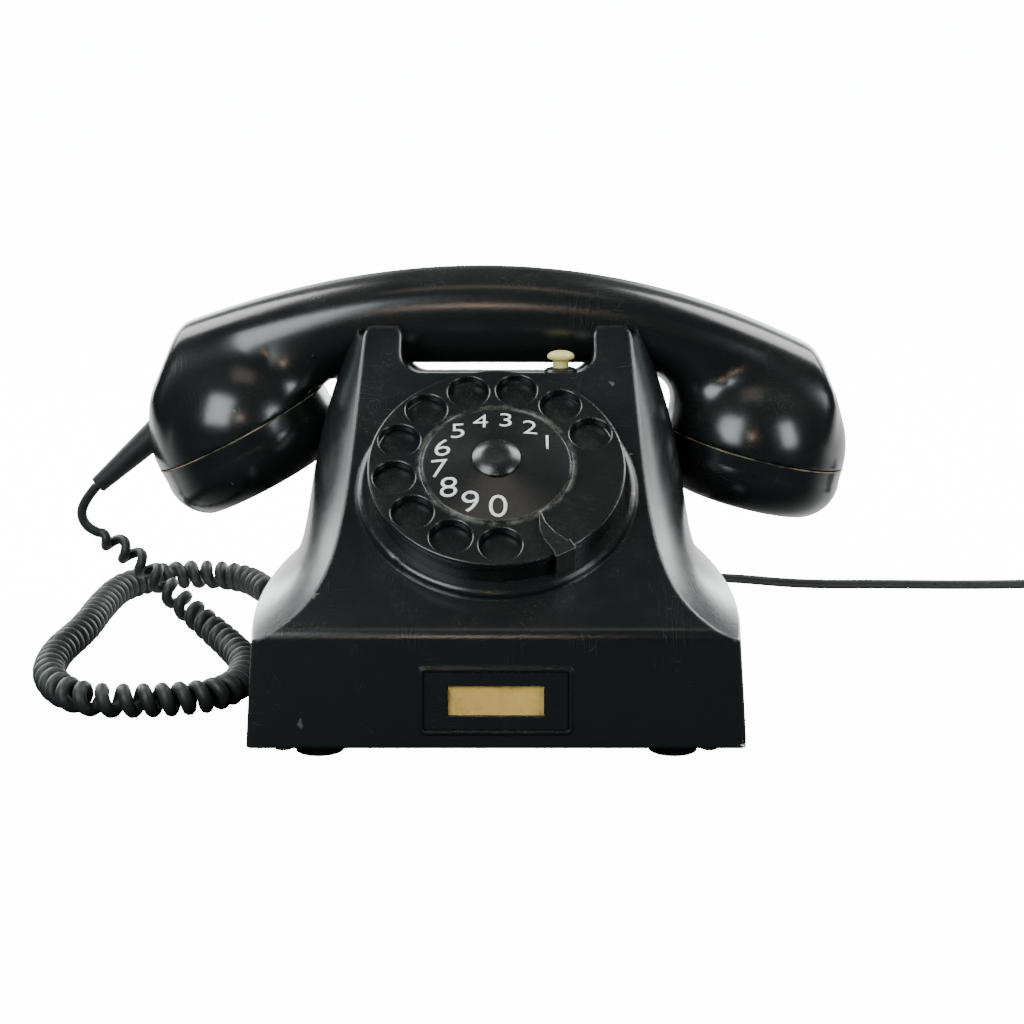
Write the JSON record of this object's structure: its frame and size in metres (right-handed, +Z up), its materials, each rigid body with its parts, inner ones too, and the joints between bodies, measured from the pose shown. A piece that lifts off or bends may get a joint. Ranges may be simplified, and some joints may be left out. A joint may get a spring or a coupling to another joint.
{
  "type": "rotary telephone",
  "caption": "Desk telephone with a sloping dial panel, ten-hole finger wheel, fixed horn cradle, arched handset on a curly cord, push button, number card and line cord.",
  "frame": {"origin": "under the middle of the telephone and handset, on the surface the feet stand on", "axes": "+Z up, +X to the right seen from the front, the dial faces -Y and up"},
  "size_m": [0.4841, 0.2324, 0.1355],
  "materials": {
    "bakelite": "satin phenolic, dusty",
    "bakelite_wheel": "satin phenolic",
    "bakelite_handset": "polished phenolic, worn by hands",
    "bakelite_cap": "polished phenolic",
    "bakelite_trim": "glossy phenolic",
    "painted_steel": "black enamel",
    "paper": "yellowed card",
    "celluloid": "clear sheet",
    "black_steel": "black enamel, chipped",
    "zinc": "zinc plated",
    "gong_steel": "nickel plated",
    "brass": "turned brass",
    "brass_screw": "tarnished brass",
    "fibre": "brown laminate",
    "winding": "wound, varnished",
    "ivory": "ivory plastic",
    "cord_rubber": "matt rubber",
    "line_rubber": "matt rubber",
    "foot_rubber": "matt rubber"
  },
  "bodies": {
    "housing": {"housing": "bakelite", "base_plate": "painted_steel", "card_frame": "bakelite_trim", "number_card": "paper", "card_window": "celluloid", "dial_case": "bakelite_trim", "finger_stop": "black_steel", "dial_plate": "zinc", "main_spring": "zinc", "governor_cup": "brass", "impulse_contact": "brass", "dial_screws": "zinc", "button_collar": "black_steel", "button_spring": "zinc", "hook_spring": "zinc", "hook_bracket": "zinc", "hook_lever_pin": "zinc", "hook_contacts": "fibre", "gong_left": "gong_steel", "gong_right": "gong_steel", "gong_posts": "zinc", "ringer_coils": "winding", "hammer_pivot": "zinc", "ringer_yoke": "zinc", "induction_coil": "winding", "capacitor": "zinc", "terminal_block": "fibre", "terminal_screws": "brass", "base_screws": "brass_screw", "curl_grommet": "cord_rubber", "line_grommet": "cord_rubber", "handset_cord_tail_top": "cord_rubber", "handset_cord_curl": "cord_rubber", "handset_cord_tail_low": "cord_rubber", "line_cord_run": "line_rubber", "line_cord_hank": "line_rubber", "line_plug_body": "bakelite_trim", "line_plug_pins": "brass", "foot_1": "foot_rubber", "foot_2": "foot_rubber", "foot_3": "foot_rubber", "foot_4": "foot_rubber"},
    "finger_wheel": {"finger_wheel": "bakelite_wheel", "wheel_hub_cap": "bakelite_trim", "dial_shaft": "zinc", "main_gear": "brass", "impulse_cam": "fibre"},
    "governor": {"governor": "brass"},
    "earth_button": {"earth_button": "ivory"},
    "handset": {"handset_shell": "bakelite_handset", "mouthpiece_cap": "bakelite_cap", "mouthpiece_capsule": "zinc", "earpiece_cap": "bakelite_cap", "earpiece_capsule": "zinc", "handset_cord_boot": "cord_rubber"},
    "hook_bar": {"hook_yoke": "zinc", "hook_plungers": "black_steel"},
    "hook_lever": {"hook_lever": "brass"},
    "bell_hammer": {"bell_hammer": "brass"}
  },
  "joints": [
    {"name": "dial_turn", "type": "hinge", "parent": "housing", "child": "finger_wheel", "pos_m": [0, -0.047, 0.084], "axis": [0, 0.6074, -0.7944], "range_deg": [0, 318], "stiffness_Nm_per_rad": 0.012, "springref_deg": -34.38},
    {"name": "governor_spin", "type": "hinge", "parent": "housing", "child": "governor", "pos_m": [-0.0256, -0.03424, 0.06732], "axis": [0, 0.6074, -0.7944], "range_deg": [-1140, 5]},
    {"name": "button_press", "type": "slide", "parent": "housing", "child": "earth_button", "axis": [0, 0, -1], "range_m": [0, 0.0024], "stiffness_N_per_m": 250, "springref_m": -0.004, "deforming": ["button_spring"]},
    {"name": "handset_lift", "type": "slide", "parent": "housing", "child": "handset", "axis": [0, 0, 1], "range_m": [0, 0.12]},
    {"name": "hook_rise", "type": "slide", "parent": "housing", "child": "hook_bar", "axis": [0, 0, 1], "range_m": [0, 0.0041], "deforming": ["hook_spring"]},
    {"name": "hook_lever_turn", "type": "hinge", "parent": "housing", "child": "hook_lever", "pos_m": [0.016, 0.025, 0.0768], "axis": [1, 0, 0], "range_deg": [0, 12]},
    {"name": "hammer_swing", "type": "hinge", "parent": "housing", "child": "bell_hammer", "pos_m": [0, 0.003, 0.0159], "axis": [0, 0, 1], "range_deg": [-5, 5], "stiffness_Nm_per_rad": 0.002}
  ],
  "couplings": [
    {"joint": "governor_spin", "follows": "dial_turn", "ratio": -3.5714},
    {"joint": "hook_rise", "follows": "handset_lift", "ratio": 0.0333},
    {"joint": "hook_lever_turn", "follows": "handset_lift", "rad_per_m": 1.5}
  ]
}
